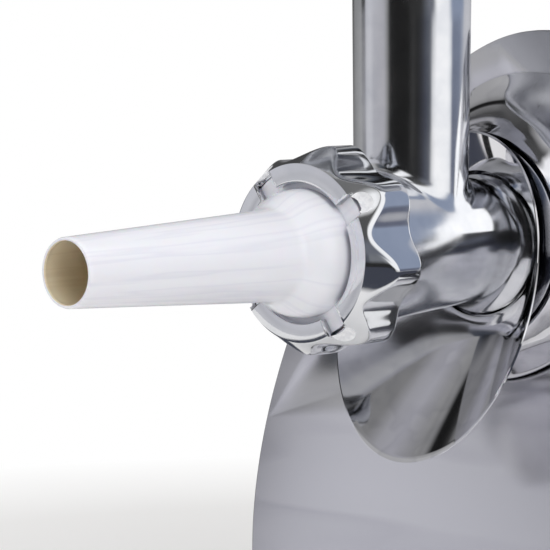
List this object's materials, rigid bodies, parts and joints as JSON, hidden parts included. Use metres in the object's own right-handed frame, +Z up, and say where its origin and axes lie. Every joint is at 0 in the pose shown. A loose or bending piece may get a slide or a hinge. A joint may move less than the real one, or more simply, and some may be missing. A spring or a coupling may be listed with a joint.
{
  "type": "electric meat grinder",
  "caption": "Tabletop electric meat grinder with polished head, lobed ring nut, sausage tube, oval splash dish, leaning mirror front panel, hopper tray and food pusher.",
  "frame": {"origin": "on the table, under the middle of the machine's bounding box", "axes": "+Z up, the sausage tube points to -Y, +X is the side with the switch"},
  "size_m": [0.2404, 0.42, 0.3513],
  "materials": {
    "white_plastic": "gloss",
    "polished_ring": "polished",
    "polished_head": "polished",
    "mirror_steel": "mirror",
    "hard_steel": "ground",
    "cast_aluminium": "as cast",
    "stainless": "brushed",
    "motor_steel": "laminated",
    "copper": "enamelled wire",
    "brass": "turned",
    "silver_plastic": "satin",
    "dark_plastic": "fine grain",
    "gear_plastic": "moulded",
    "nylon": "moulded",
    "rubber": "moulded"
  },
  "bodies": {
    "base": {"front_panel": "mirror_steel", "neck_collar": "cast_aluminium", "neck_cover": "mirror_steel", "housing_shell": "silver_plastic", "rear_cover": "dark_plastic", "cover_screw_1": "stainless", "cover_screw_2": "stainless", "cover_screw_3": "stainless", "cover_screw_4": "stainless", "base_plate": "dark_plastic", "foot_1": "rubber", "foot_2": "rubber", "foot_3": "rubber", "foot_4": "rubber", "gearbox_case": "cast_aluminium", "gearbox_cover": "cast_aluminium", "second_axle": "hard_steel", "first_axle": "hard_steel", "output_bearing": "brass", "stator": "motor_steel", "field_coil_top": "copper", "field_coil_bottom": "copper", "front_bracket": "cast_aluminium", "rear_bracket": "cast_aluminium", "brush_holder_left": "dark_plastic", "brush_holder_right": "dark_plastic", "switch_body": "dark_plastic", "reverse_bezel": "dark_plastic", "mains_inlet": "dark_plastic"},
    "head": {"grinder_head": "polished_head", "mincing_plate": "hard_steel", "thrust_washer": "nylon", "splash_dish": "mirror_steel"},
    "screw": {"feed_screw": "cast_aluminium", "knife": "hard_steel"},
    "tube": {"sausage_tube": "white_plastic"},
    "ring": {"ring_nut": "polished_ring"},
    "tray": {"hopper_tray": "stainless"},
    "pusher": {"food_pusher": "white_plastic"},
    "pad": {"clamp_pad": "nylon"},
    "knob": {"clamp_knob": "dark_plastic"},
    "output": {"output_gear": "gear_plastic"},
    "second": {"second_gear": "gear_plastic"},
    "first": {"first_gear": "gear_plastic"},
    "rotor": {"armature": "motor_steel", "commutator": "copper", "fan": "nylon"},
    "rocker": {"rocker": "dark_plastic"},
    "reverse": {"reverse_button": "silver_plastic"},
    "reset": {"reset_button": "dark_plastic"}
  },
  "joints": [
    {"name": "head_slide", "type": "slide", "parent": "base", "child": "head", "axis": [0, -1, 0], "range_m": [0, 0.04]},
    {"name": "screw_spin", "type": "hinge", "parent": "head", "child": "screw", "pos_m": [0, 0, 0.178], "axis": [0, 1, 0], "continuous": true},
    {"name": "tube_slide", "type": "slide", "parent": "head", "child": "tube", "axis": [0, -1, 0], "range_m": [0, 0.0161]},
    {"name": "ring_turn", "type": "hinge", "parent": "tube", "child": "ring", "pos_m": [0, -0.0932, 0.178], "axis": [0, -1, 0], "range_deg": [0, 1440]},
    {"name": "tray_lift", "type": "slide", "parent": "head", "child": "tray", "axis": [0, 0, 1], "range_m": [0, 0.06]},
    {"name": "pusher_slide", "type": "slide", "parent": "tray", "child": "pusher", "axis": [0, 0, 1], "range_m": [0, 0.11]},
    {"name": "pad_slide", "type": "slide", "parent": "base", "child": "pad", "axis": [-1, 0, 0], "range_m": [0, 0.00205]},
    {"name": "knob_turn", "type": "hinge", "parent": "pad", "child": "knob", "pos_m": [-0.07, 0.0168, 0.178], "axis": [-1, 0, 0], "range_deg": [0, 480]},
    {"name": "rotor_spin", "type": "hinge", "parent": "base", "child": "rotor", "pos_m": [0, 0.13, 0.07694], "axis": [0, 1, 0], "continuous": true},
    {"name": "first_spin", "type": "hinge", "parent": "base", "child": "first", "pos_m": [0, 0.07, 0.10994], "axis": [0, 1, 0], "continuous": true},
    {"name": "second_spin", "type": "hinge", "parent": "base", "child": "second", "pos_m": [-0.024, 0.07, 0.13876], "axis": [0, 1, 0], "continuous": true},
    {"name": "output_spin", "type": "hinge", "parent": "base", "child": "output", "pos_m": [0, 0.05, 0.178], "axis": [0, 1, 0], "continuous": true},
    {"name": "rocker_tilt", "type": "hinge", "parent": "base", "child": "rocker", "pos_m": [0.088, 0.1208, 0.116], "axis": [0, 0, 1], "range_deg": [0, 22]},
    {"name": "reverse_press", "type": "slide", "parent": "base", "child": "reverse", "axis": [-1, 0, 0], "range_m": [0, 0.003], "stiffness_N_per_m": 400},
    {"name": "reset_press", "type": "slide", "parent": "base", "child": "reset", "axis": [0, -1, 0], "range_m": [0, 0.002], "stiffness_N_per_m": 400}
  ],
  "couplings": [
    {"joint": "tube_slide", "follows": "ring_turn", "m_per_rad": 0.00063662},
    {"joint": "pad_slide", "follows": "knob_turn", "m_per_rad": 0.00023873},
    {"joint": "first_spin", "follows": "rotor_spin", "ratio": -0.22222},
    {"joint": "second_spin", "follows": "rotor_spin", "ratio": 0.055556},
    {"joint": "output_spin", "follows": "rotor_spin", "ratio": -0.015432},
    {"joint": "screw_spin", "follows": "rotor_spin", "ratio": -0.015432}
  ]
}
